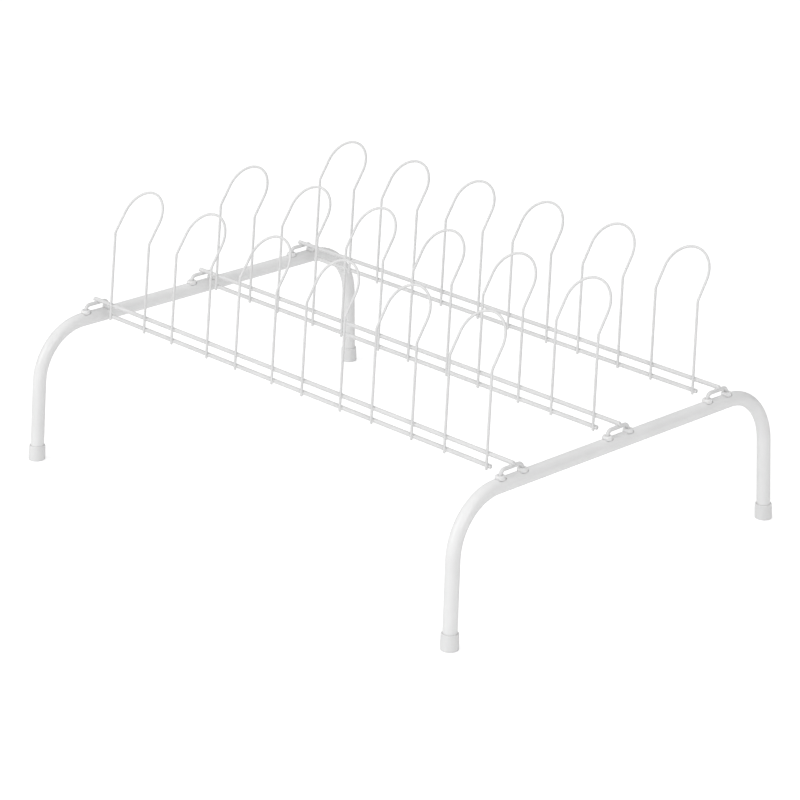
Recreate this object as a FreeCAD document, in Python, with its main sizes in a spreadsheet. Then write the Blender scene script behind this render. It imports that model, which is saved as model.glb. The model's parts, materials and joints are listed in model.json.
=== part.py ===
import FreeCAD, Part
import Sketcher
import ast
import math
import operator
import os

# Wire shoe rack.
#
# Two bent steel tubes stand as end frames, in planes of constant X, with
# their feet on the floor at Z = 0. Three rows of wirework lie between them
# along X. Every row has an upper rail, a shorter lower rail, six upright
# loops for shoes and two end bridges. The bridges are staples whose legs
# plug into moulded sockets in the top of the tubes, so that each row lifts
# out straight up.
#
# Frame: origin on the floor at the centre of the footprint, +X along the
# rails (left to right), +Y from the front row to the back row, +Z up.
# Lengths are in millimetres and angles in degrees.

Vector = FreeCAD.Vector
doc = FreeCAD.newDocument("ShoeRack")

# ---------------------------------------------------------------- dimensions

# Alias, value, meaning.
SIZES = [
    ("frame_span", 700.0, "distance between the planes of the two end frames"),
    ("foot_span", 504.0, "distance between the leg axes at the floor"),
    ("tube_axis_height", 153.0, "height of the axis of the tube's top run"),
    ("tube_dia", 16.0, "outside diameter of the end frame tube"),
    ("tube_wall", 1.0, "wall thickness of the end frame tube"),
    ("tube_bend", 63.0, "bend radius of the tube's axis"),
    ("leg_splay", 1.63, "lean of each leg away from vertical, feet outward"),
    ("row_pitch", 165.0, "distance between neighbouring rows"),
    ("seat_depth", 2.0, "depth of a socket's flat seat under the tube's top"),
    ("seat_dia", 13.4, "diameter of a socket's flat seat"),
    ("seat_floor", 1.3, "thickness of the metal under a flat seat"),
    ("seat_wall", 1.0, "thickness of the metal round a flat seat"),
    ("metal_width_share", 0.625, "width of the seat's metal, as a share of tube_dia"),
    ("metal_top_width_share", 0.425, "width of that metal's top, as a share of tube_dia"),
    ("metal_top_share", 0.8875, "height of its top over the axis, per tube radius"),
    ("cap_length", 17.0, "length of a foot cap along the leg"),
    ("cap_floor", 3.0, "thickness of the foot cap under the tube's end"),
    ("cap_base_dia", 20.0, "outside diameter of the foot cap near the floor"),
    ("cap_waist_dia", 19.6, "outside diameter just under the collar step"),
    ("cap_collar_dia", 19.1, "outside diameter of the cap's collar"),
    ("cap_collar_length", 5.0, "length of the collar at the cap's mouth"),
    ("cap_step_height", 0.5, "height of the collar step"),
    ("cap_step_flare", 0.15, "extra radius of the collar where it meets its step"),
    ("cap_skirt", 0.5, "extra length under the cap, trimmed level with the floor"),
    ("cap_bore_play", 0.03, "gap between the cap's bore and the tube"),
    ("cap_edge", 1.2, "rounding of the cap's lower outer edge"),
    ("cap_mouth_edge", 0.8, "rounding of the cap's upper outer edge"),
    ("cap_mouth_bevel", 0.3, "width of the bevel inside the cap's mouth"),
    ("socket_rim_dia", 11.8, "outside diameter of a socket's flange"),
    ("socket_rise", 3.0, "height of the flange above the top of the tube"),
    ("socket_round", 2.1, "rounding of the flange's upper edge"),
    ("socket_shoulder_dia", 8.6, "diameter of the shoulder that rests on the seat"),
    ("socket_relief", 0.5, "gap under the flange's rim, outside its shoulder"),
    ("socket_rim_edge", 0.3, "rounding of the flange's lower rim"),
    ("socket_mouth_bevel", 0.6, "bevel at the top of the bore"),
    ("socket_stem_dia", 7.0, "diameter of the socket's stem in the tube wall"),
    ("socket_lip_dia", 7.8, "diameter of the retaining lip under the tube wall"),
    ("socket_lip_gap", 0.1, "gap between the seat's metal and the lip"),
    ("socket_lip_height", 0.6, "height of the lip's straight side"),
    ("socket_tip_dia", 6.4, "diameter of the stem's lower end"),
    ("socket_tip_height", 2.0, "height of the stem's lower end over the tube axis"),
    ("socket_play", 0.05, "gap round the stem, and round the leg in its bore"),
    ("bridge_wire_dia", 4.4, "wire diameter of an end bridge"),
    ("bridge_leg_gap", 33.0, "distance between the two legs of a bridge"),
    ("bridge_bend", 6.0, "bend radius of the bridge's axis"),
    ("bridge_lift", 5.75, "gap between the tube's top and the bridge's underside"),
    ("bridge_leg_length", 20.5, "length of the bridge's legs below its top axis"),
    ("rail_dia", 4.8, "wire diameter of both rails"),
    ("upper_rail_length", 706.5, "length of the upper rail"),
    ("lower_rail_length", 641.5, "length of the lower rail"),
    ("rail_drop", 13.0, "distance between the axes of the two rails"),
    ("weld_sink", 0.3, "depth that two welded wires are pressed together"),
    ("loop_wire_dia", 3.0, "wire diameter of a loop"),
    ("loop_pitch", 114.3, "distance between neighbouring loops of a row"),
    ("loop_width", 63.5, "distance between the wire axes of a loop's legs"),
    ("loop_lean", 3.4, "backward lean of the loop's legs"),
    ("loop_tilt", 34.4, "backward lean of the loop's head"),
    ("loop_above", 89.0, "leg length from the upper rail's axis up to the kink"),
    ("loop_below", 16.0, "leg length from the upper rail's axis to the end"),
    ("loop_neck", 26.0, "distance from the kink to the centre of the arch"),
    ("loop_kink_bend", 6.0, "bend radius of the wire's axis at the kink"),
    ("wire_end_edge", 0.35, "small edge break on cut wire ends"),
]

sheet = doc.addObject("Spreadsheet::Sheet", "Sizes")
for line, (alias, value, meaning) in enumerate(SIZES, start=1):
    sheet.set(f"A{line}", meaning)
    sheet.set(f"B{line}", repr(value))
    sheet.setAlias(f"B{line}", alias)
doc.recompute()

# Places that several parts share, as expressions of the sheet's cells.
SIDES = (("left", "-Sizes.frame_span / 2"), ("right", "Sizes.frame_span / 2"))
ROWS = (("front", -1), ("middle", 0), ("back", 1))
LOOPS_PER_ROW = 6

TUBE_RADIUS = "(Sizes.tube_dia / 2)"
RAIL_RADIUS = "(Sizes.rail_dia / 2)"
BRIDGE_WIRE_RADIUS = "(Sizes.bridge_wire_dia / 2)"
LOOP_WIRE_RADIUS = "(Sizes.loop_wire_dia / 2)"

# The flat seat and the underside of its metal, over the tube's axis.
SEAT = f"({TUBE_RADIUS} - Sizes.seat_depth)"
SEAT_UNDERSIDE = f"({SEAT} - Sizes.seat_floor)"
BRIDGE_Z = (
    f"(Sizes.tube_axis_height + {TUBE_RADIUS} + Sizes.bridge_lift + {BRIDGE_WIRE_RADIUS})"
)
RAIL_OVER_BRIDGE = f"({BRIDGE_WIRE_RADIUS} + {RAIL_RADIUS} - Sizes.weld_sink)"
RAIL_Z = f"({BRIDGE_Z} + {RAIL_OVER_BRIDGE})"

# The lower rail hangs from the upper one along the lean of the loops.
DROP_Y = "Sizes.rail_drop * sin(Sizes.loop_lean)"
DROP_Z = "Sizes.rail_drop * cos(Sizes.loop_lean)"


def row_y(row_sign):
    return f"{row_sign} * Sizes.row_pitch"


def socket_y(row_sign, leg_sign):
    """A socket stands half a bridge gap to each side of its row."""
    return f"{row_y(row_sign)} + {leg_sign} * Sizes.bridge_leg_gap / 2"


# --------------------------------------------------------------- expressions

OPERATIONS = {
    ast.Add: operator.add,
    ast.Sub: operator.sub,
    ast.Mult: operator.mul,
    ast.Div: operator.truediv,
}
FUNCTIONS = {"sin": math.sin, "cos": math.cos}
FUNCTIONS["tan"] = math.tan


def size(alias):
    return float(sheet.get(alias))


def node_value(node):
    """The value of one term of an expression."""
    if isinstance(node, ast.Constant):
        return float(node.value)
    if isinstance(node, ast.Attribute):
        return size(node.attr)
    if isinstance(node, ast.UnaryOp):
        value = node_value(node.operand)
        return -value if isinstance(node.op, ast.USub) else value
    if isinstance(node, ast.BinOp):
        return OPERATIONS[type(node.op)](node_value(node.left), node_value(node.right))
    if isinstance(node, ast.Call):
        return FUNCTIONS[node.func.id](math.radians(node_value(node.args[0])))
    raise RuntimeError("an expression has an unknown term")


def value_of(expression):
    """The number an expression of the sheet's sizes gives, with angles in
    degrees. An expression of None stands for zero."""
    if expression is None:
        return 0.0
    return node_value(ast.parse(expression.strip()).body[0].value)


# ------------------------------------------------------- bodies and sketches

SUBPARTS = []


def new_body(label):
    """One sub-part: a body whose Label names its file."""
    body = doc.addObject("PartDesign::Body", label)
    body.Label = label
    SUBPARTS.append(body)
    return body


def place(body, x=None, y=None, z=None, rotation=None):
    """Puts a sub-part in the rack's frame, bound to the sheet."""
    if rotation is not None:
        body.Placement = FreeCAD.Placement(Vector(0, 0, 0), rotation)
    for axis, expression in (("x", x), ("y", y), ("z", z)):
        if expression is not None:
            body.setExpression("Placement.Base." + axis, expression)
    doc.recompute()


def origin_plane(body, role):
    for feature in body.Origin.OriginFeatures:
        if feature.Role == role:
            return feature
    raise RuntimeError("no plane " + role)


def new_sketch(body, name, role, offset=None, tilt=None):
    """A sketch on an origin plane of its own body. offset holds expressions
    for the sketch's place on that plane. tilt, for the XY plane, is an
    expression that leans the sketch's normal from +Z towards +Y."""
    sketch = body.newObject("Sketcher::SketchObject", name)
    sketch.AttachmentSupport = (origin_plane(body, role), [""])
    sketch.MapMode = "FlatFace"
    if tilt is not None:
        # The expression needs a rotation whose axis is already set.
        sketch.AttachmentOffset = FreeCAD.Placement(
            Vector(0, 0, 0), FreeCAD.Rotation(Vector(-1, 0, 0), 1.0)
        )
        sketch.setExpression("AttachmentOffset.Rotation.Angle", tilt)
    for axis, expression in (offset or {}).items():
        sketch.setExpression("AttachmentOffset.Base." + axis, expression)
    return sketch


def constrain(sketch, *terms, to=None):
    """Adds a constraint, bound to the expression `to` if there is one."""
    index = sketch.addConstraint(Sketcher.Constraint(*terms))
    if to is not None:
        sketch.setExpression(f"Constraints[{index}]", to)


def fix_point(sketch, geo, pos, x_expr, y_expr):
    """Fixes a point at two expressions. An expression of None puts the
    point on the matching axis of the sketch."""
    for kind, expression, axis in (("DistanceX", x_expr, -2), ("DistanceY", y_expr, -1)):
        if expression is None:
            constrain(sketch, "PointOnObject", geo, pos, axis)
        else:
            constrain(sketch, kind, -1, 1, geo, pos, value_of(expression), to=expression)


def add_circle(sketch, x_expr, y_expr, radius_expr):
    """A circle whose centre and radius are expressions."""
    centre = Vector(value_of(x_expr), value_of(y_expr), 0)
    radius = value_of(radius_expr)
    geo = sketch.addGeometry(Part.Circle(centre, Vector(0, 0, 1), radius), False)
    fix_point(sketch, geo, 3, x_expr, y_expr)
    constrain(sketch, "Radius", geo, radius, to=radius_expr)


def add_line(sketch, start, end):
    segment = Part.LineSegment(Vector(*start, 0), Vector(*end, 0))
    return sketch.addGeometry(segment, False)


def add_polygon(sketch, corners):
    """A closed polygon whose corners are pairs of expressions."""
    points = [(value_of(x_expr), value_of(y_expr)) for x_expr, y_expr in corners]
    next_points = points[1:] + points[:1]
    lines = [add_line(sketch, *ends) for ends in zip(points, next_points)]
    for here, after in zip(lines, lines[1:] + lines[:1]):
        constrain(sketch, "Coincident", here, 2, after, 1)
    for geo, (x_expr, y_expr) in zip(lines, corners):
        fix_point(sketch, geo, 1, x_expr, y_expr)


# ---------------------------------------------------------------- wire paths


def direction(lean):
    """The upward direction that leans from the vertical by an angle."""
    return math.sin(lean), math.cos(lean)


def arc_between(p_from, d_from, p_to, d_to, radius):
    """Centre, tangent points and turn of the bend that joins the line leaving
    p_from along d_from to the line reaching p_to along d_to. The turn is
    positive if it is anticlockwise."""
    cross = d_from[0] * d_to[1] - d_from[1] * d_to[0]
    gap_x, gap_y = p_to[0] - p_from[0], p_to[1] - p_from[1]
    along = (gap_x * d_to[1] - gap_y * d_to[0]) / cross
    corner = (p_from[0] + along * d_from[0], p_from[1] + along * d_from[1])
    turn = math.atan2(cross, d_from[0] * d_to[0] + d_from[1] * d_to[1])
    back = radius * math.tan(abs(turn) / 2.0)
    start = (corner[0] - back * d_from[0], corner[1] - back * d_from[1])
    end = (corner[0] + back * d_to[0], corner[1] + back * d_to[1])
    side = 1.0 if turn > 0 else -1.0
    centre = (start[0] - side * radius * d_from[1], start[1] + side * radius * d_from[0])
    return centre, start, end, turn


def add_bend(sketch, centre, start, end, turn, radius):
    """An arc from start to end. Returns the geometry index and the positions
    of its start and end as the path meets them."""
    start_angle = math.atan2(start[1] - centre[1], start[0] - centre[0])
    end_angle = math.atan2(end[1] - centre[1], end[0] - centre[0])
    circle = Part.Circle(Vector(*centre, 0), Vector(0, 0, 1), radius)
    if turn > 0:
        while end_angle < start_angle:
            end_angle += 2 * math.pi
        arc = Part.ArcOfCircle(circle, start_angle, end_angle)
        return sketch.addGeometry(arc, False), 1, 2
    while start_angle < end_angle:
        start_angle += 2 * math.pi
    arc = Part.ArcOfCircle(circle, end_angle, start_angle)
    return sketch.addGeometry(arc, False), 2, 1


def join_bend(sketch, before, bend, after):
    """Makes a bend tangent to the lines before and after it."""
    arc, arc_start, arc_end = bend
    constrain(sketch, "Tangent", before, 2, arc, arc_start)
    constrain(sketch, "Tangent", arc, arc_end, after, 1)


def add_staple(sketch, half_expr, foot, top, radius_expr, lean=0.0):
    """A symmetric staple: a leg up, a bend, a level run, a bend, a leg down.
    half_expr is the legs' half distance at their feet. foot and top are the
    heights of the feet and of the run, and lean is the spread of the feet in
    radians. Returns the two legs and the run. The heights and the direction of
    the legs are left for the caller to constrain."""
    half, radius = value_of(half_expr), value_of(radius_expr)
    centre, start, end, turn = arc_between(
        (-half, foot), direction(lean), (0.0, top), (1.0, 0.0), radius
    )
    # The second half mirrors the first.
    far_centre, far_start, far_end = ((-x, y) for x, y in (centre, end, start))
    first_leg = add_line(sketch, (-half, foot), start)
    first_bend = add_bend(sketch, centre, start, end, turn, radius)
    run = add_line(sketch, end, far_start)
    last_bend = add_bend(sketch, far_centre, far_start, far_end, turn, radius)
    last_leg = add_line(sketch, far_end, (half, foot))
    join_bend(sketch, first_leg, first_bend, run)
    join_bend(sketch, run, last_bend, last_leg)
    constrain(sketch, "Equal", first_bend[0], last_bend[0])
    constrain(sketch, "Radius", first_bend[0], radius, to=radius_expr)
    constrain(sketch, "DistanceX", first_leg, 1, -1, 1, half, to=half_expr)
    constrain(sketch, "DistanceX", -1, 1, last_leg, 2, half, to=half_expr)
    return first_leg, run, last_leg


# ------------------------------------------------------------------ features


def volume_of(shape):
    return 0.0 if shape.isNull() else shape.Volume


def add_pipe(body, name, profile, path):
    pipe = body.newObject("PartDesign::AdditivePipe", name)
    pipe.Profile = profile
    pipe.Spine = (path, [])
    pipe.Mode = "Standard"
    doc.recompute()
    return pipe


def add_revolution(body, name, profile, angle=360.0):
    revolution = body.newObject("PartDesign::Revolution", name)
    revolution.Profile = profile
    revolution.ReferenceAxis = (profile, ["V_Axis"])
    revolution.Angle = angle
    doc.recompute()
    return revolution


def add_pad(body, name, profile, length):
    """A pad to both sides of its sketch, which must add material."""
    before = volume_of(body.Shape)
    pad = body.newObject("PartDesign::Pad", name)
    pad.Profile = profile
    pad.Type = "Length"
    pad.SideType = "Symmetric"
    pad.setExpression("Length", length)
    doc.recompute()
    if not pad.Shape.Volume > before + 1e-3:
        raise RuntimeError(name + " added nothing")
    return pad


def add_pocket(body, name, profile, length, along_normal=False):
    """A pocket to both sides of its sketch, or only along the sketch's
    normal. It must remove material."""
    before = volume_of(body.Shape)
    pocket = body.newObject("PartDesign::Pocket", name)
    pocket.Profile = profile
    pocket.Type = "Length"
    if not along_normal:
        pocket.SideType = "Symmetric"
    pocket.Reversed = along_normal
    pocket.setExpression("Length", length)
    doc.recompute()
    if not pocket.Shape.Volume < before - 1e-3:
        raise RuntimeError(name + " cut nothing")
    return pocket


def round_edges(feature, radius, height=None, below=None):
    """Names of the circular edges of a radius, which may be limited to those
    centred at a height or below one."""
    names = []
    for number, edge in enumerate(feature.Shape.Edges, start=1):
        curve = edge.Curve
        if not isinstance(curve, Part.Circle) or abs(curve.Radius - radius) >= 1e-4:
            continue
        if height is not None and abs(edge.CenterOfMass.z - height) >= 1e-4:
            continue
        if below is not None and edge.CenterOfMass.z >= below:
            continue
        names.append(f"Edge{number}")
    if not names:
        raise RuntimeError("no edge found on " + feature.Name)
    return names


def add_fillet(body, name, base, edges, radius):
    fillet = body.newObject("PartDesign::Fillet", name)
    fillet.Base = (base, edges)
    fillet.setExpression("Radius", radius)
    doc.recompute()
    return fillet


def add_chamfer(body, name, base, edges, width):
    chamfer = body.newObject("PartDesign::Chamfer", name)
    chamfer.Base = (base, edges)
    chamfer.setExpression("Size", width)
    doc.recompute()


# ---------------------------------------------------------------- end frames

# The tube stops on the floor of its foot cap.
TUBE_END_Y = "(Sizes.foot_span / 2 - Sizes.cap_floor * sin(Sizes.leg_splay))"
TUBE_END_Z = "(Sizes.cap_floor * cos(Sizes.leg_splay))"

SOCKET_PLACES = [
    socket_y(row_sign, leg_sign) for _, row_sign in ROWS for leg_sign in (-1, 1)
]


def add_tube(body):
    """The bent tube of an end frame, swept along its axis."""
    label = body.Label
    path = new_sketch(body, label + "_path", "YZ_Plane")
    foot, top = value_of(TUBE_END_Z), size("tube_axis_height")
    splay = math.radians(size("leg_splay"))
    first_leg, run, last_leg = add_staple(
        path, TUBE_END_Y, foot, top, "Sizes.tube_bend", splay
    )
    constrain(path, "Horizontal", run)
    constrain(path, "DistanceY", -1, 1, first_leg, 1, foot, to=TUBE_END_Z)
    constrain(path, "DistanceY", -1, 1, last_leg, 2, foot, to=TUBE_END_Z)
    constrain(path, "DistanceY", -1, 1, run, 1, top, to="Sizes.tube_axis_height")
    rise = math.pi / 2 - splay
    constrain(path, "Angle", -1, 1, first_leg, 1, rise, to="90 - Sizes.leg_splay")
    constrain(path, "Angle", -1, 1, last_leg, 1, -rise, to="-90 + Sizes.leg_splay")
    ring = new_sketch(
        body,
        label + "_ring",
        "XY_Plane",
        {"y": "-" + TUBE_END_Y, "z": TUBE_END_Z},
        "Sizes.leg_splay",
    )
    add_circle(ring, None, None, TUBE_RADIUS)
    add_circle(ring, None, None, f"({TUBE_RADIUS} - Sizes.tube_wall)")
    add_pipe(body, label + "_tube", ring, path)


def add_seat_metal(body, number, offset):
    """A block inside the tube for the floor and wall of one flat seat."""
    block = new_sketch(
        body,
        f"{body.Label}_block_{number}",
        "XZ_Plane",
        {"y": "Sizes.tube_axis_height", "z": f"0 - ({offset})"},
    )
    half = f"Sizes.metal_width_share * {TUBE_RADIUS}"
    top_half = f"Sizes.metal_top_width_share * {TUBE_RADIUS}"
    top = f"Sizes.metal_top_share * {TUBE_RADIUS}"
    add_polygon(
        block,
        [
            (f"0 - {half}", SEAT_UNDERSIDE),
            (half, SEAT_UNDERSIDE),
            (half, SEAT),
            (top_half, top),
            (f"0 - {top_half}", top),
            (f"0 - {half}", SEAT),
        ],
    )
    length = "Sizes.seat_dia + 2 * Sizes.seat_wall"
    add_pad(body, f"{body.Label}_metal_{number}", block, length)


def cut_at_sockets(body, sketch_name, pocket_name, height, radius):
    """Cuts a round recess upward from a height, at every socket."""
    sketch = new_sketch(body, f"{body.Label}_{sketch_name}", "XY_Plane", {"z": height})
    for offset in SOCKET_PLACES:
        add_circle(sketch, None, offset, radius)
    pocket_name = f"{body.Label}_{pocket_name}"
    add_pocket(body, pocket_name, sketch, "Sizes.tube_dia", along_normal=True)


def make_end_frame(label, x):
    body = new_body(label)
    add_tube(body)
    # The tube is pressed in to a flat seat under every socket. The metal of
    # the seat's floor and wall goes into the tube first, and is then cut.
    for number, offset in enumerate(SOCKET_PLACES, start=1):
        add_seat_metal(body, number, offset)
    cut_at_sockets(
        body, "seats", "flat_seats", f"Sizes.tube_axis_height + {SEAT}", "(Sizes.seat_dia / 2)"
    )
    # The holes for the stems go through the top wall only.
    stem_hole = "(Sizes.socket_stem_dia / 2 + Sizes.socket_play)"
    cut_at_sockets(body, "holes", "socket_holes", "Sizes.tube_axis_height", stem_hole)
    place(body, x=x)


# ----------------------------------------------------------------- foot caps


def make_foot_cap(label, x, y, turned):
    """A moulded cap pushed over a tube's end. It is turned about the leg's
    axis, and its underside is trimmed level with the floor. A back cap is
    turned half round about Z."""
    body = new_body(label)
    top = "Sizes.cap_length"
    bore = f"({TUBE_RADIUS} + Sizes.cap_bore_play)"
    collar = "(Sizes.cap_length - Sizes.cap_collar_length)"
    outline = new_sketch(body, label + "_outline", "XZ_Plane")
    add_polygon(
        outline,
        [
            (None, "-Sizes.cap_skirt"),
            ("Sizes.cap_base_dia / 2", "-Sizes.cap_skirt"),
            ("Sizes.cap_waist_dia / 2", collar),
            (
                "Sizes.cap_collar_dia / 2 + Sizes.cap_step_flare",
                f"{collar} + Sizes.cap_step_height",
            ),
            ("Sizes.cap_collar_dia / 2", top),
            (f"{bore} + Sizes.cap_mouth_bevel", top),
            (bore, f"{top} - 2 * Sizes.cap_mouth_bevel"),
            (bore, "Sizes.cap_floor"),
            (None, "Sizes.cap_floor"),
        ],
    )
    blank = add_revolution(body, label + "_turned", outline)
    rims = round_edges(blank, size("cap_base_dia") / 2)
    rounded = add_fillet(body, label + "_rounding", blank, rims, "Sizes.cap_edge")
    rims = round_edges(rounded, size("cap_collar_dia") / 2)
    add_fillet(body, label + "_mouth", rounded, rims, "Sizes.cap_mouth_edge")

    trim = new_sketch(body, label + "_trim", "YZ_Plane")
    reach = "Sizes.cap_base_dia"
    slope_rise = f"{reach} * tan(Sizes.leg_splay)"
    add_polygon(
        trim,
        [
            (f"-{reach}", f"-{slope_rise}"),
            (f"-{reach}", f"-{reach}"),
            (reach, f"-{reach}"),
            (reach, slope_rise),
        ],
    )
    add_pocket(body, label + "_floor_face", trim, f"2 * {reach}")
    rotation = FreeCAD.Rotation(Vector(1, 0, 0), -size("leg_splay"))
    if turned:
        rotation = FreeCAD.Rotation(Vector(0, 0, 1), 180) * rotation
    place(body, x=x, y=y, rotation=rotation)


# ------------------------------------------------------------------- sockets


def make_socket(label, x, y):
    """A moulded insert for one bridge leg: a round, domed flange that rests
    on the tube's flat seat, a stem through the seat with a retaining lip, and
    a bore all the way through. Its origin is on the tube's axis."""
    body = new_body(label)
    crown = f"({TUBE_RADIUS} + Sizes.socket_rise)"
    brim = f"({SEAT} + Sizes.socket_relief)"
    lip = f"({SEAT_UNDERSIDE} - Sizes.socket_lip_gap)"
    tip = "Sizes.socket_tip_height"
    outline = new_sketch(body, label + "_outline", "XZ_Plane")
    add_polygon(
        outline,
        [
            (None, tip),
            ("Sizes.socket_tip_dia / 2", tip),
            ("Sizes.socket_lip_dia / 2", f"{lip} - Sizes.socket_lip_height"),
            ("Sizes.socket_lip_dia / 2", lip),
            ("Sizes.socket_stem_dia / 2", lip),
            ("Sizes.socket_stem_dia / 2", SEAT),
            ("Sizes.socket_shoulder_dia / 2", SEAT),
            ("Sizes.socket_shoulder_dia / 2", brim),
            ("Sizes.socket_rim_dia / 2", brim),
            ("Sizes.socket_rim_dia / 2", crown),
            (None, crown),
        ],
    )
    turned = add_revolution(body, label + "_turned", outline)
    rim_radius = size("socket_rim_dia") / 2
    rims = round_edges(turned, rim_radius, height=value_of(crown))
    domed = add_fillet(body, label + "_dome", turned, rims, "Sizes.socket_round")
    rims = round_edges(domed, rim_radius, height=value_of(brim))
    add_fillet(body, label + "_lower_rim", domed, rims, "Sizes.socket_rim_edge")

    mouth = new_sketch(body, label + "_mouth", "XY_Plane")
    bore_radius = f"({BRIDGE_WIRE_RADIUS} + Sizes.socket_play)"
    add_circle(mouth, None, None, bore_radius)
    bore = add_pocket(body, label + "_bore", mouth, "4 * Sizes.tube_dia")
    rims = round_edges(bore, value_of(bore_radius), height=value_of(crown))
    add_chamfer(body, label + "_bevel", bore, rims, "Sizes.socket_mouth_bevel")
    place(body, x, y, "Sizes.tube_axis_height")


# --------------------------------------------------------- rails and bridges


def make_rail(label, length, y, z):
    """A straight wire, cut square, with a small edge break at each end."""
    body = new_body(label)
    section = new_sketch(body, label + "_section", "YZ_Plane")
    add_circle(section, None, None, RAIL_RADIUS)
    wire = add_pad(body, label + "_wire", section, length)
    ends = round_edges(wire, value_of(RAIL_RADIUS))
    add_chamfer(body, label + "_ends", wire, ends, "Sizes.wire_end_edge")
    place(body, y=y, z=z)


def make_bridge(label, x, y):
    """The staple under a rail's end. Its level run is on the body's own Y
    axis, along the tube, and its legs go down into two sockets. The rail is
    seated in its top."""
    body = new_body(label)
    path = new_sketch(body, label + "_path", "YZ_Plane")
    half = "(Sizes.bridge_leg_gap / 2)"
    leg_length = size("bridge_leg_length")
    first_leg, run, last_leg = add_staple(path, half, -leg_length, 0.0, "Sizes.bridge_bend")
    constrain(path, "PointOnObject", run, 1, -1)
    constrain(path, "PointOnObject", run, 2, -1)
    for leg, foot_pos in ((first_leg, 1), (last_leg, 2)):
        constrain(path, "Vertical", leg)
        constrain(
            path, "DistanceY", leg, foot_pos, -1, 1, leg_length, to="Sizes.bridge_leg_length"
        )
    section = new_sketch(
        body,
        label + "_section",
        "XY_Plane",
        {"y": "-" + half, "z": "(0 - Sizes.bridge_leg_length)"},
    )
    add_circle(section, None, None, BRIDGE_WIRE_RADIUS)
    wire = add_pipe(body, label + "_wire", section, path)
    ends = round_edges(wire, value_of(BRIDGE_WIRE_RADIUS), height=-leg_length)
    add_chamfer(body, label + "_tips", wire, ends, "2 * Sizes.wire_end_edge")

    seat = new_sketch(body, label + "_seat", "YZ_Plane")
    add_circle(seat, None, RAIL_OVER_BRIDGE, RAIL_RADIUS)
    add_pocket(body, label + "_weld_seat", seat, "4 * Sizes.bridge_wire_dia")
    place(body, x, y, BRIDGE_Z)


# --------------------------------------------------------------------- loops

# The loops stand in front of the rails by this much, measured across the lean.
LOOP_STANDOFF = f"({RAIL_RADIUS} + {LOOP_WIRE_RADIUS} - Sizes.weld_sink)"
LOOP_HALF = "(Sizes.loop_width / 2)"

# The point of a leg's axis that is level with the upper rail along the lean.
LEVEL_Y = f"0 - {LOOP_STANDOFF} * cos(Sizes.loop_lean)"
LEVEL_Z = f"{LOOP_STANDOFF} * sin(Sizes.loop_lean)"
LOOP_FOOT_Y = f"({LEVEL_Y} - Sizes.loop_below * sin(Sizes.loop_lean))"
LOOP_FOOT_Z = f"({LEVEL_Z} - Sizes.loop_below * cos(Sizes.loop_lean))"
ARCH_Y = (
    f"({LEVEL_Y} + Sizes.loop_above * sin(Sizes.loop_lean)"
    " + Sizes.loop_neck * sin(Sizes.loop_tilt))"
)
ARCH_Z = (
    f"({LEVEL_Z} + Sizes.loop_above * cos(Sizes.loop_lean)"
    " + Sizes.loop_neck * cos(Sizes.loop_tilt))"
)


def add_loop_leg(body):
    """The left leg of a loop, from its foot through the kink to the arch."""
    label = body.Label
    foot = (value_of(LOOP_FOOT_Y), value_of(LOOP_FOOT_Z))
    arch = (value_of(ARCH_Y), value_of(ARCH_Z))
    lean, tilt = math.radians(size("loop_lean")), math.radians(size("loop_tilt"))
    radius = size("loop_kink_bend")
    centre, start, end, turn = arc_between(
        foot, direction(lean), arch, direction(tilt), radius
    )
    path = new_sketch(body, label + "_path", "YZ_Plane", {"z": "-" + LOOP_HALF})
    leg = add_line(path, foot, start)
    kink = add_bend(path, centre, start, end, turn, radius)
    neck = add_line(path, end, arch)
    join_bend(path, leg, kink, neck)
    constrain(path, "Radius", kink[0], radius, to="Sizes.loop_kink_bend")
    fix_point(path, leg, 1, LOOP_FOOT_Y, LOOP_FOOT_Z)
    fix_point(path, neck, 2, ARCH_Y, ARCH_Z)
    constrain(path, "Angle", -1, 1, leg, 1, math.pi / 2 - lean, to="90 - Sizes.loop_lean")
    constrain(path, "Angle", -1, 1, neck, 1, math.pi / 2 - tilt, to="90 - Sizes.loop_tilt")
    section = new_sketch(
        body,
        label + "_section",
        "XY_Plane",
        {"x": "-" + LOOP_HALF, "y": LOOP_FOOT_Y, "z": LOOP_FOOT_Z},
        "Sizes.loop_lean",
    )
    add_circle(section, None, None, LOOP_WIRE_RADIUS)
    return add_pipe(body, label + "_leg", section, path)


def mirror_leg(body, leg):
    """The right leg, mirrored from the left one."""
    leg_volume = leg.Shape.Volume
    both = body.newObject("PartDesign::Mirrored", body.Label + "_legs")
    both.Originals = [leg]
    both.MirrorPlane = (origin_plane(body, "YZ_Plane"), [""])
    body.Tip = both
    doc.recompute()
    if abs(both.Shape.Volume - 2 * leg_volume) > 1e-2 * leg_volume:
        raise RuntimeError(body.Label + " has not two legs")


def add_arch(body):
    """The half circle of wire that joins the legs at the top."""
    label = body.Label
    crown = new_sketch(
        body, label + "_crown", "XY_Plane", {"y": ARCH_Y, "z": ARCH_Z}, "Sizes.loop_tilt"
    )
    add_circle(crown, "-" + LOOP_HALF, None, LOOP_WIRE_RADIUS)
    arch = add_revolution(body, label + "_arch", crown, 180.0)
    if arch.Shape.BoundBox.ZMax < value_of(ARCH_Z) + size("loop_width") / 4:
        raise RuntimeError(label + " has its arch upside down")
    return arch


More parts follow.
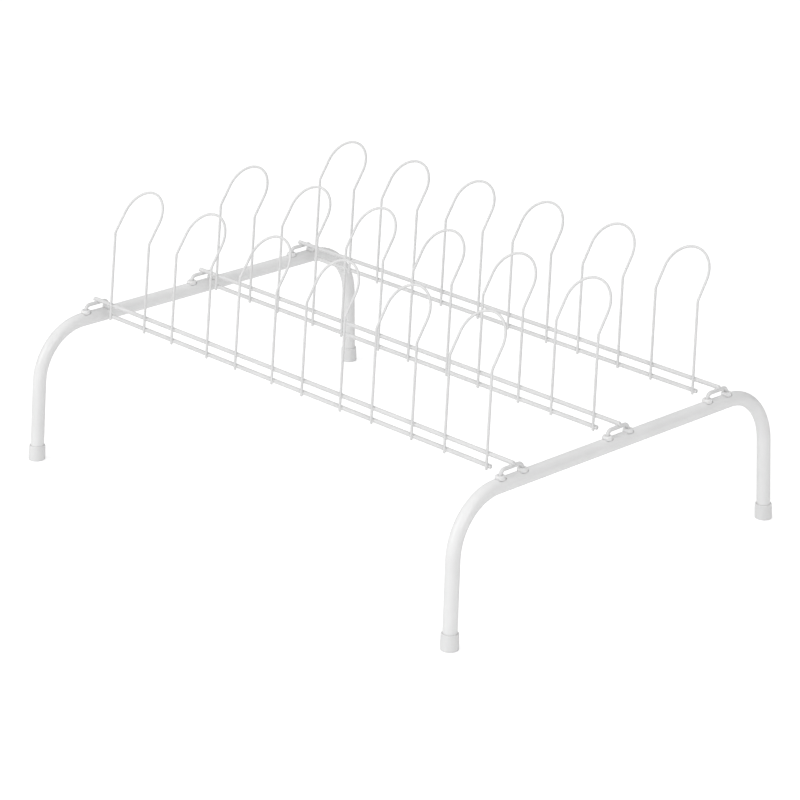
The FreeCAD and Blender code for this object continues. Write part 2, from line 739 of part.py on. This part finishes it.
def make_loop(label, number, y):
    """One shoe loop. Its legs lean back a little, kink, lean back much more,
    and meet in a half-circle arch. The origin is on the upper rail's axis,
    midway between the legs."""
    body = new_body(label)
    mirror_leg(body, add_loop_leg(body))
    arch = add_arch(body)
    ends = round_edges(arch, value_of(LOOP_WIRE_RADIUS), below=value_of(LOOP_FOOT_Z) + 0.5)
    add_chamfer(body, label + "_tips", arch, ends, "Sizes.wire_end_edge")

    # Both rails are seated in the legs.
    seats = new_sketch(body, label + "_seats", "YZ_Plane")
    add_circle(seats, None, None, RAIL_RADIUS)
    add_circle(seats, f"(0 - {DROP_Y})", f"(0 - {DROP_Z})", RAIL_RADIUS)
    add_pocket(body, label + "_weld_seats", seats, "2 * Sizes.loop_width")
    middle = (LOOPS_PER_ROW + 1) / 2
    place(body, f"({number} - {middle}) * Sizes.loop_pitch", y, RAIL_Z)


# ------------------------------------------------------------------ assembly


def make_row(row, y):
    """The rails, loops and bridges of one row."""
    make_rail(row + "_upper_rail", "Sizes.upper_rail_length", y, RAIL_Z)
    make_rail(
        row + "_lower_rail", "Sizes.lower_rail_length", f"{y} - {DROP_Y}", f"{RAIL_Z} - {DROP_Z}"
    )
    for number in range(1, LOOPS_PER_ROW + 1):
        make_loop(f"{row}_loop_{number}", number, y)
    for side, x in SIDES:
        make_bridge(f"{row}_{side}_bridge", x, y)


for side, x in SIDES:
    make_end_frame(side + "_end_frame", x)
for side, x in SIDES:
    make_foot_cap(f"foot_cap_{side}_front", x, "-Sizes.foot_span / 2", False)
    make_foot_cap(f"foot_cap_{side}_back", x, "Sizes.foot_span / 2", True)
for side, x in SIDES:
    for row, row_sign in ROWS:
        for number, leg_sign in ((1, -1), (2, 1)):
            make_socket(f"socket_{row}_{side}_{number}", x, socket_y(row_sign, leg_sign))
for row, row_sign in ROWS:
    make_row(row, row_y(row_sign))

# --------------------------------------------------------- checks and export


def find_faults():
    """Describes every object that failed and every unsound sub-part."""
    faults = []
    for obj in doc.Objects:
        state = [word for word in obj.State if word in ("Invalid", "Error")]
        if state:
            faults.append(f"{obj.Name} is {', '.join(state)}")
    for body in SUBPARTS:
        shape = body.Shape
        if shape.isNull():
            faults.append(body.Label + " has no shape")
        elif not shape.isValid():
            faults.append(body.Label + " has an invalid shape")
        elif len(shape.Solids) != 1:
            faults.append(f"{body.Label} has {len(shape.Solids)} solids")
        for feature in body.Group:
            if feature.TypeId == "Sketcher::SketchObject" and feature.solve() != 0:
                faults.append(feature.Name + " does not solve")
    return faults


doc.recompute()
faults = find_faults()
if faults:
    raise RuntimeError("; ".join(faults))

os.makedirs("parts", exist_ok=True)
for body in SUBPARTS:
    body.Shape.exportStep(os.path.join("parts", body.Label + ".step"))
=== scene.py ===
import json
import math

import bpy
import numpy as np
from mathutils import Matrix, Vector


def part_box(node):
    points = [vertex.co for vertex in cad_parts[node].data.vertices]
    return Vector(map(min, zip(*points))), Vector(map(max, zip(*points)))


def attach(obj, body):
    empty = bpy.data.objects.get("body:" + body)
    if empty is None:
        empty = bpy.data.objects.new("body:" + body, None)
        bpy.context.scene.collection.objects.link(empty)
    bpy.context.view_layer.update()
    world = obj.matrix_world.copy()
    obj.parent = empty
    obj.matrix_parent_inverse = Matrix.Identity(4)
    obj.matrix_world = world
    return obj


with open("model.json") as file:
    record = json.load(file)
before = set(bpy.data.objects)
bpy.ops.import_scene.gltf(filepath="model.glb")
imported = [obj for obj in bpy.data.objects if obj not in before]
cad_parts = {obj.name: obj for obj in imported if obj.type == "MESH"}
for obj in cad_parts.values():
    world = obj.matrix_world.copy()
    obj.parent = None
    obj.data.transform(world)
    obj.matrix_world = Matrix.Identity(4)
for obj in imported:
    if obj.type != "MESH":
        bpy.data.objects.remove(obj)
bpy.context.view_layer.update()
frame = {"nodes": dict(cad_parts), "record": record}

ROWS = ("front", "middle", "back")
SIDES = ("left", "right")
MM = 0.001


# ------------------------------------------------------------ node materials

class Nodes:
    """A small helper that builds a node material."""

    def __init__(self, name):
        self.mat = bpy.data.materials.new(name)
        self.mat.use_nodes = True
        self.tree = self.mat.node_tree
        self.tree.nodes.clear()
        self.out = self.add("ShaderNodeOutputMaterial")
        self.coords = self.add("ShaderNodeTexCoord")

    def add(self, kind, **settings):
        node = self.tree.nodes.new(kind)
        for key, value in settings.items():
            setattr(node, key, value)
        return node

    def link(self, a, b):
        self.tree.links.new(a, b)

    def noise(self, scale, detail=2.0, rough=0.5, stretch=None):
        node = self.add("ShaderNodeTexNoise")
        node.inputs["Scale"].default_value = scale
        node.inputs["Detail"].default_value = detail
        node.inputs["Roughness"].default_value = rough
        if stretch is None:
            self.link(self.coords.outputs["Object"], node.inputs["Vector"])
        else:
            mapping = self.add("ShaderNodeMapping")
            mapping.inputs["Scale"].default_value = stretch
            self.link(self.coords.outputs["Object"], mapping.inputs["Vector"])
            self.link(mapping.outputs["Vector"], node.inputs["Vector"])
        return node.outputs["Fac"]

    def ramp(self, fac, low, high, a, b):
        """Maps fac from low..high to a..b, clamped."""
        node = self.add("ShaderNodeMapRange")
        node.inputs["From Min"].default_value = low
        node.inputs["From Max"].default_value = high
        node.inputs["To Min"].default_value = a
        node.inputs["To Max"].default_value = b
        self.link(fac, node.inputs["Value"])
        return node.outputs["Result"]

    def mathn(self, op, a, b=None, clamp=False):
        node = self.add("ShaderNodeMath", operation=op, use_clamp=clamp)
        for i, v in enumerate((a, b)):
            if v is None:
                continue
            if isinstance(v, (int, float)):
                node.inputs[i].default_value = v
            else:
                self.link(v, node.inputs[i])
        return node.outputs[0]

    def mix(self, fac, a, b):
        node = self.add("ShaderNodeMix", data_type="RGBA")
        for socket, v in ((node.inputs["Factor"], fac), (node.inputs[6], a), (node.inputs[7], b)):
            if isinstance(v, (int, float)):
                socket.default_value = v
            elif isinstance(v, tuple):
                socket.default_value = (v[0], v[1], v[2], 1.0)
            else:
                self.link(v, socket)
        return node.outputs[2]

    def bump(self, height, strength, distance, normal=None):
        node = self.add("ShaderNodeBump")
        node.inputs["Strength"].default_value = strength
        node.inputs["Distance"].default_value = distance
        self.link(height, node.inputs["Height"])
        if normal is not None:
            self.link(normal, node.inputs["Normal"])
        return node.outputs["Normal"]


def powder_coat(name, white, peel, rough):
    """Satin white powder coat over steel: a fine orange peel, cloudy gloss,
    slightly thinner and greyer where the film pulls off sharp edges, and
    painted shade darkening the creases."""
    n = Nodes(name)
    peel_fine = n.noise(620.0, 3.0, 0.55)
    peel_broad = n.noise(170.0, 2.0, 0.5)
    cloud = n.noise(22.0, 3.0, 0.55)
    specks = n.noise(1500.0, 1.0, 0.4)
    bevel = n.add("ShaderNodeBevel", samples=4)
    bevel.inputs["Radius"].default_value = 0.35 * MM
    geo = n.add("ShaderNodeNewGeometry")
    dot = n.add("ShaderNodeVectorMath", operation="DOT_PRODUCT")
    n.link(bevel.outputs["Normal"], dot.inputs[0])
    n.link(geo.outputs["Normal"], dot.inputs[1])
    edge = n.ramp(dot.outputs["Value"], 0.90, 0.995, 1.0, 0.0)
    edge = n.mathn("MULTIPLY", edge, n.ramp(peel_broad, 0.35, 0.65, 0.35, 1.0))
    base = n.mix(n.ramp(cloud, 0.3, 0.7, 0.0, 1.0), tuple(c * 0.95 for c in white), tuple(min(1.0, c * 1.01) for c in white))
    base = n.mix(n.ramp(specks, 0.70, 0.78, 0.0, 0.22), base, (0.52, 0.51, 0.49))
    base = n.mix(n.mathn("MULTIPLY", edge, 0.35), base, (0.60, 0.60, 0.61))
    # Painted shade: where ambient occlusion within 1.6 mm finds creases and joints, the base colour is darkened
    # in patches towards a dark grey (0.42, 0.41, 0.39).
    crease = n.add("ShaderNodeAmbientOcclusion", samples=4, only_local=False)
    crease.inputs["Distance"].default_value = 1.6 * MM
    crease_shade = n.mathn("MULTIPLY", n.ramp(crease.outputs["AO"], 0.35, 0.85, 0.30, 0.0), n.ramp(peel_broad, 0.3, 0.6, 0.5, 1.0))
    base = n.mix(crease_shade, base, (0.42, 0.41, 0.39))
    gloss = n.mathn("ADD", n.ramp(cloud, 0.3, 0.7, rough - 0.07, rough + 0.09), n.ramp(peel_fine, 0.3, 0.7, -0.05, 0.05))
    normal = n.bump(peel_broad, 0.7, peel * 2.6)
    normal = n.bump(peel_fine, 0.9, peel * 1.5, normal)
    shader = n.add("ShaderNodeBsdfPrincipled")
    n.link(base, shader.inputs["Base Color"])
    n.link(gloss, shader.inputs["Roughness"])
    n.link(normal, shader.inputs["Normal"])
    shader.inputs["IOR"].default_value = 1.5
    shader.inputs["Coat Weight"].default_value = 0.12
    shader.inputs["Coat Roughness"].default_value = 0.18
    n.link(shader.outputs["BSDF"], n.out.inputs["Surface"])
    return n.mat


def moulded_plastic(name, white, rough, grain):
    """Injection-moulded white plastic: fine spark texture, faint flow clouds
    and a thin scuffed line on its sharp edges."""
    n = Nodes(name)
    fine = n.noise(2200.0, 2.0, 0.6)
    flow = n.noise(60.0, 3.0, 0.6, (1.0, 1.0, 0.35))
    scuff = n.noise(420.0, 4.0, 0.65)
    bevel = n.add("ShaderNodeBevel", samples=4)
    bevel.inputs["Radius"].default_value = 0.5 * MM
    geo = n.add("ShaderNodeNewGeometry")
    dot = n.add("ShaderNodeVectorMath", operation="DOT_PRODUCT")
    n.link(bevel.outputs["Normal"], dot.inputs[0])
    n.link(geo.outputs["Normal"], dot.inputs[1])
    edge = n.ramp(dot.outputs["Value"], 0.86, 0.99, 1.0, 0.0)
    edge = n.mathn("MULTIPLY", edge, n.ramp(scuff, 0.42, 0.6, 0.0, 1.0))
    base = n.mix(n.ramp(flow, 0.3, 0.7, 0.0, 1.0), tuple(c * 0.935 for c in white), tuple(min(1.0, c * 1.01) for c in white))
    base = n.mix(n.mathn("MULTIPLY", edge, 0.4), base, (0.58, 0.58, 0.57))
    gloss = n.mathn("ADD", n.ramp(flow, 0.3, 0.7, rough - 0.05, rough + 0.05), n.mathn("MULTIPLY", edge, 0.15))
    normal = n.bump(fine, 0.8, grain * 1.8)
    shader = n.add("ShaderNodeBsdfPrincipled")
    n.link(base, shader.inputs["Base Color"])
    n.link(gloss, shader.inputs["Roughness"])
    n.link(normal, shader.inputs["Normal"])
    shader.inputs["IOR"].default_value = 1.49
    shader.inputs["Subsurface Weight"].default_value = 0.12
    shader.inputs["Subsurface Radius"].default_value = (0.0012, 0.0011, 0.0010)
    n.link(shader.outputs["BSDF"], n.out.inputs["Surface"])
    return n.mat


MATS = {
    "frame_coating": powder_coat("frame_powder_coat", (0.80, 0.80, 0.80), 0.045 * MM, 0.36),
    "wire_coating": powder_coat("wire_powder_coat", (0.71, 0.71, 0.71), 0.030 * MM, 0.38),
    "cap_plastic": moulded_plastic("foot_cap_plastic", (0.76, 0.76, 0.76), 0.50, 0.02 * MM),
    "socket_plastic": moulded_plastic("socket_plastic", (0.80, 0.80, 0.80), 0.36, 0.012 * MM),
}

slot_of = {s["node"]: s["material_slot"] for s in frame["record"]["subparts"]}
for name, node in frame["nodes"].items():
    node.data.materials.clear()
    node.data.materials.append(MATS[slot_of[name]])


# -------------------------------------------------------------- weld fillets

def surface_nets(field, origin, step):
    """Quads on the zero surface of a sampled field (negative inside)."""
    inside = field < 0
    nx, ny, nz = field.shape
    corners = [(i, j, k) for i in (0, 1) for j in (0, 1) for k in (0, 1)]
    cells = [inside[i:nx - 1 + i, j:ny - 1 + j, k:nz - 1 + k] for i, j, k in corners]
    count = sum(c.astype(int) for c in cells)
    active = (count > 0) & (count < 8)
    index = -np.ones(active.shape, int)
    where = np.argwhere(active)
    index[active] = np.arange(len(where))
    total = np.zeros((len(where), 3))
    hits = np.zeros(len(where))
    for a in range(8):
        for b in range(a + 1, 8):
            ca, cb = np.array(corners[a]), np.array(corners[b])
            if np.abs(ca - cb).sum() != 1:
                continue
            pa, pb = where + ca, where + cb
            fa = field[pa[:, 0], pa[:, 1], pa[:, 2]]
            fb = field[pb[:, 0], pb[:, 1], pb[:, 2]]
            cross = (fa < 0) != (fb < 0)
            t = np.where(cross, fa / np.where(cross, fa - fb, 1.0), 0.0)
            total += np.where(cross[:, None], pa + t[:, None] * (pb - pa), 0.0)
            hits += cross
    verts = total / hits[:, None] * step + np.array(origin)
    faces = []
    for axis in range(3):
        o1, o2 = [d for d in range(3) if d != axis]
        shape = [nx, ny, nz]
        lo = [slice(None)] * 3
        hi = [slice(None)] * 3
        lo[axis], hi[axis] = slice(0, shape[axis] - 1), slice(1, shape[axis])
        change = inside[tuple(lo)] != inside[tuple(hi)]
        for p in np.argwhere(change):
            if p[o1] == 0 or p[o2] == 0 or p[o1] >= shape[o1] - 1 or p[o2] >= shape[o2] - 1:
                continue
            quad = []
            for d1, d2 in ((0, 0), (-1, 0), (-1, -1), (0, -1)):
                q = p.copy()
                q[o1] += d1
                q[o2] += d2
                quad.append(index[q[0], q[1], q[2]])
            flip = inside[tuple(p)]
            if axis == 1:
                flip = not flip
            faces.append(quad[::-1] if flip else quad)
    return verts, faces


def weld_shape(r_rail, r_wire, gap, blend, reach, step=0.28):
    """The coated weld where a wire along Z crosses a rail along X. The rail's
    axis is the X axis, and the wire's axis is at y = -gap. In millimetres."""
    pad = reach + 3 * step
    centre = np.array([0.0, -(gap + r_rail - r_wire) / 2, 0.0])
    n = int(math.ceil(2 * pad / step)) + 1
    origin = centre - pad
    axis = np.arange(n) * step
    x = (origin[0] + axis)[:, None, None]
    y = (origin[1] + axis)[None, :, None]
    z = (origin[2] + axis)[None, None, :]
    sunk = 0.04
    d1 = np.sqrt(y * y + z * z) - r_rail + sunk + 0 * x
    d2 = np.sqrt(x * x + (y + gap) ** 2) - r_wire + sunk + 0 * z
    near = np.maximum(blend - np.abs(d1 - d2), 0.0) / blend
    field = np.minimum(d1, d2) - near * near * blend / 4
    ball = np.sqrt((x - centre[0]) ** 2 + (y - centre[1]) ** 2 + (z - centre[2]) ** 2) - reach
    field = np.maximum(field, ball)
    verts, faces = surface_nets(field, origin, step)
    return verts, faces


def add_mesh(name, verts, faces, material, smooth=True):
    mesh = bpy.data.meshes.new(name)
    mesh.from_pydata([tuple(v) for v in verts], [], [tuple(int(i) for i in f) for f in faces])
    mesh.validate()
    mesh.update()
    mesh.materials.append(material)
    for poly in mesh.polygons:
        poly.use_smooth = smooth
    obj = bpy.data.objects.new(name, mesh)
    bpy.context.scene.collection.objects.link(obj)
    return obj


LEAN = math.radians(3.4)
RAIL_R, WIRE_R, BRIDGE_R, SINK = 2.4, 1.5, 2.2, 0.3
side_weld = weld_shape(RAIL_R, WIRE_R, RAIL_R + WIRE_R - SINK, 1.9, 4.1)
seat_weld = weld_shape(RAIL_R, BRIDGE_R, RAIL_R + BRIDGE_R - SINK, 2.2, 4.8)


def turned(about_x):
    return np.array(Matrix.Rotation(about_x, 3, "X"))


for row in ROWS:
    lo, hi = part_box(row + "_upper_rail")
    upper = np.array([(lo[i] + hi[i]) / 2 for i in range(3)])
    lo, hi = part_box(row + "_lower_rail")
    lower = np.array([(lo[i] + hi[i]) / 2 for i in range(3)])
    verts, faces = [], []

    def put(shape, rotation, place):
        start = sum(len(v) for v in verts)
        verts.append(shape[0] * MM @ rotation.T + place)
        faces.extend([[i + start for i in f] for f in shape[1]])

    lean = turned(-LEAN)
    for number in range(1, 7):
        lo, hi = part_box("%s_loop_%d" % (row, number))
        for x in (lo.x + WIRE_R * MM, hi.x - WIRE_R * MM):
            middle = (lo.x + hi.x) / 2
            x = middle + math.copysign(31.75 * MM, x - middle)
            for rail in (upper, lower):
                put(side_weld, lean, np.array([x, rail[1], rail[2]]))
    # The wire direction of the shape is Z and the stand-off is towards -Y, so
    # a quarter turn lays it under the rail along Y.
    for side in SIDES:
        lo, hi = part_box("%s_%s_bridge" % (row, side))
        put(seat_weld, turned(math.radians(90.0)), np.array([(lo.x + hi.x) / 2, upper[1], upper[2]]))
    welds = add_mesh(row + "_welds", np.vstack(verts), faces, MATS["wire_coating"])
    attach(welds, row + "_row")


# --------------------------------------------------------------------- stage

floor = bpy.data.objects.new("studio_floor", bpy.data.meshes.new("studio_floor"))
floor.data.from_pydata([(-30, -30, 0), (30, -30, 0), (30, 30, 0), (-30, 30, 0)], [], [(0, 1, 2, 3)])
bpy.context.scene.collection.objects.link(floor)
n = Nodes("pale_floor")
diffuse = n.add("ShaderNodeBsdfDiffuse")
diffuse.inputs["Color"].default_value = (0.90, 0.90, 0.90, 1)
glow = n.add("ShaderNodeEmission")
glow.inputs["Color"].default_value = (1, 1, 1, 1)
path = n.add("ShaderNodeLightPath")
n.link(n.mathn("ADD", n.mathn("MULTIPLY", path.outputs["Is Camera Ray"], 0.28), 0.035), glow.inputs["Strength"])
both = n.add("ShaderNodeAddShader")
n.link(diffuse.outputs[0], both.inputs[0])
n.link(glow.outputs[0], both.inputs[1])
n.link(both.outputs[0], n.out.inputs["Surface"])
floor.data.materials.append(n.mat)

ROOM = (0.48, 0.19, 0.62)
world = bpy.data.worlds.new("studio")
bpy.context.scene.world = world
world.use_nodes = True
wt = world.node_tree
wt.nodes.clear()
w_out = wt.nodes.new("ShaderNodeOutputWorld")
w_light = wt.nodes.new("ShaderNodeBackground")
w_seen = wt.nodes.new("ShaderNodeBackground")
w_mix = wt.nodes.new("ShaderNodeMixShader")
w_path = wt.nodes.new("ShaderNodeLightPath")
w_light.inputs["Color"].default_value = (1, 1, 1, 1)
w_seen.inputs["Color"].default_value = (1, 1, 1, 1)
w_seen.inputs["Strength"].default_value = 1.0
wt.links.new(w_path.outputs["Is Camera Ray"], w_mix.inputs["Fac"])
# The room is brighter overhead, and a little darker to the right, behind the
# rack.
w_dir = wt.nodes.new("ShaderNodeTexCoord")
w_parts = []
for toward, start, stop, near, far in (
    ((0.50, 0.86, 0.0), 0.0, 1.0, ROOM[0], ROOM[1]),
    ((0.0, 0.0, 1.0), 0.3, 1.0, 0.0, ROOM[2]),
):
    w_dot = wt.nodes.new("ShaderNodeVectorMath")
    w_dot.operation = "DOT_PRODUCT"
    w_dot.inputs[1].default_value = toward
    w_fall = wt.nodes.new("ShaderNodeMapRange")
    w_fall.inputs["From Min"].default_value = start
    w_fall.inputs["From Max"].default_value = stop
    w_fall.inputs["To Min"].default_value = near
    w_fall.inputs["To Max"].default_value = far
    wt.links.new(w_dir.outputs["Generated"], w_dot.inputs[0])
    wt.links.new(w_dot.outputs["Value"], w_fall.inputs["Value"])
    w_parts.append(w_fall.outputs["Result"])
w_sum = wt.nodes.new("ShaderNodeMath")
wt.links.new(w_parts[0], w_sum.inputs[0])
wt.links.new(w_parts[1], w_sum.inputs[1])
wt.links.new(w_sum.outputs[0], w_light.inputs["Strength"])
wt.links.new(w_light.outputs[0], w_mix.inputs[1])
wt.links.new(w_seen.outputs[0], w_mix.inputs[2])
wt.links.new(w_mix.outputs[0], w_out.inputs["Surface"])


def soft_light(name, place, aim, size, power):
    data = bpy.data.lights.new(name, "AREA")
    data.shape = "DISK"
    data.size = size
    data.energy = power
    obj = bpy.data.objects.new(name, data)
    obj.location = place
    obj.rotation_mode = "QUATERNION"
    obj.rotation_quaternion = (Vector(aim) - Vector(place)).to_track_quat("-Z", "Y")
    bpy.context.scene.collection.objects.link(obj)
    return obj


soft_light("key", (-1.46, -4.0, 2.1), (0, 0, 0.15), 2.6, 60.0)
soft_light("fill", (3.84, -1.79, 2.35), (0, 0, 0.1), 2.4, 48.0)

# -------------------------------------------------------------------- camera

SHIFT = (-0.102497, -1.205208)
SPOT = Vector((2.5709202, -2.4685502, 1.4123635))
RIGHT = Vector((0.70814291, 0.70584002, 0.01798591))
DOWN = Vector((0.04868148, -0.02339594, -0.99854031))
AHEAD = Vector((-0.70438891, 0.70798481, -0.05092901))
lens = bpy.data.cameras.new("camera")
lens.sensor_width = 36.0
lens.lens = 3110.342 / 800.0 * 36.0
lens.clip_start, lens.clip_end = 0.1, 100.0
camera = bpy.data.objects.new("camera", lens)
rotation = Matrix((RIGHT, -DOWN, -AHEAD)).transposed()
camera.matrix_world = Matrix.Translation(SPOT) @ rotation.to_4x4()
bpy.context.scene.collection.objects.link(camera)
bpy.context.scene.camera = camera
# The picture is taken as with a view camera: the back is upright and the lens
# is shifted down. The shift only holds at this place, so that the camera
# looks straight ahead when it is moved round the rack.
for axis, amount in zip(("shift_x", "shift_y"), SHIFT):
    setattr(lens, axis, amount)
    driver = lens.driver_add(axis).driver
    driver.type = "SCRIPTED"
    var = driver.variables.new()
    var.name = "spot"
    var.type = "TRANSFORMS"
    var.targets[0].id = camera
    var.targets[0].transform_type = "LOC_X"
    var.targets[0].transform_space = "WORLD_SPACE"
    driver.expression = "%.6f if abs(spot - %.6f) < 0.0005 else 0.0" % (amount, SPOT.x)

bpy.context.scene.view_settings.view_transform = "Standard"
bpy.context.scene.view_settings.look = "None"
